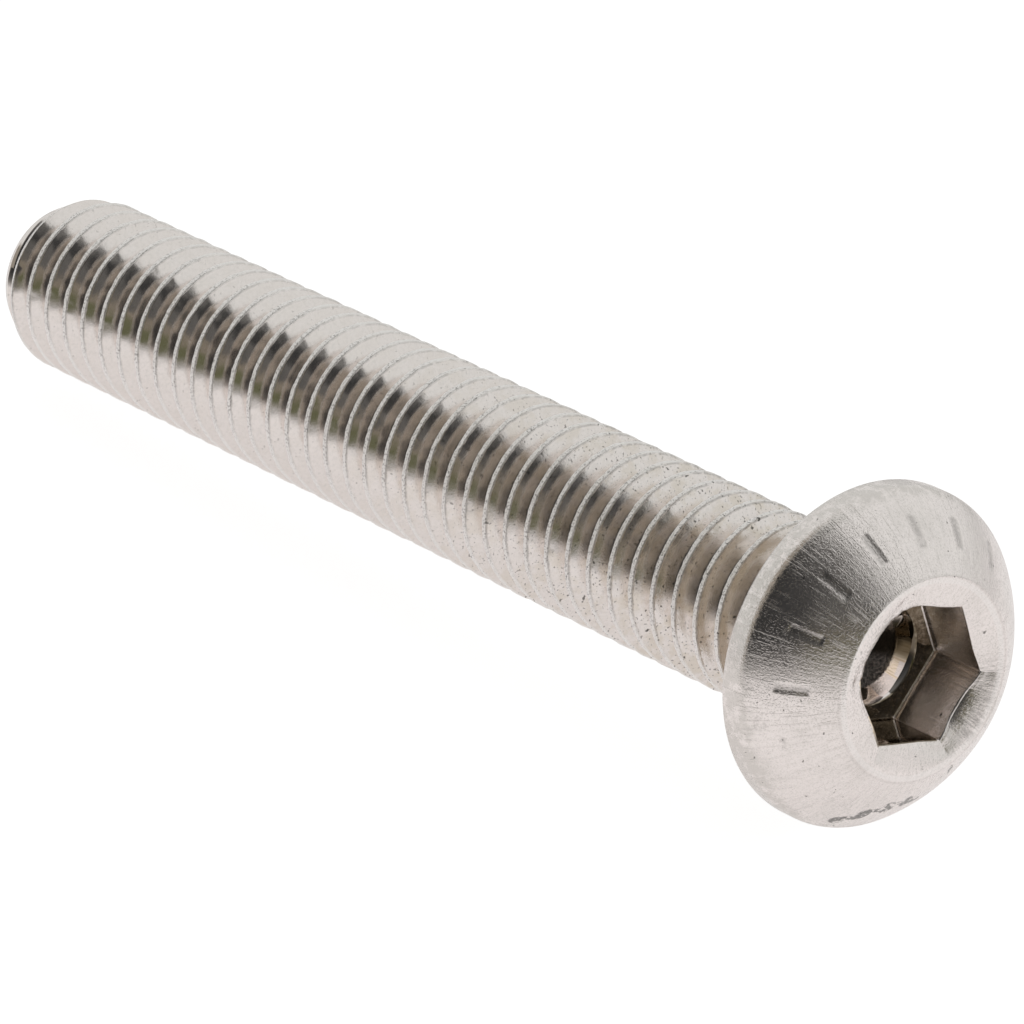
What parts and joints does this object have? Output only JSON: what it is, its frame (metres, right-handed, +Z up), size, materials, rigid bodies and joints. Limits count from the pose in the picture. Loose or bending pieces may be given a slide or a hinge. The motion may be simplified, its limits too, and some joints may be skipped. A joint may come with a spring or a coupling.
{
  "type": "button head screw",
  "caption": "Button head screw with a low domed head, a hexagon socket and a shank threaded over its whole length, lying on its side.",
  "frame": {"origin": "the surface that the screw lies on, under the middle of its length", "axes": "+X along the screw's length, from the tip to the head, +Z up; the shank slopes down to the tip by 3.4 degrees, because the head is wider"},
  "size_m": [0.0432, 0.0104, 0.0105],
  "materials": {
    "stainless_steel": "bright stainless steel, satin on the dome and in the thread grooves, with scuffed crests and fine handling marks"
  },
  "bodies": {
    "root": {"button_head_screw": "stainless_steel"}
  },
  "joints": []
}
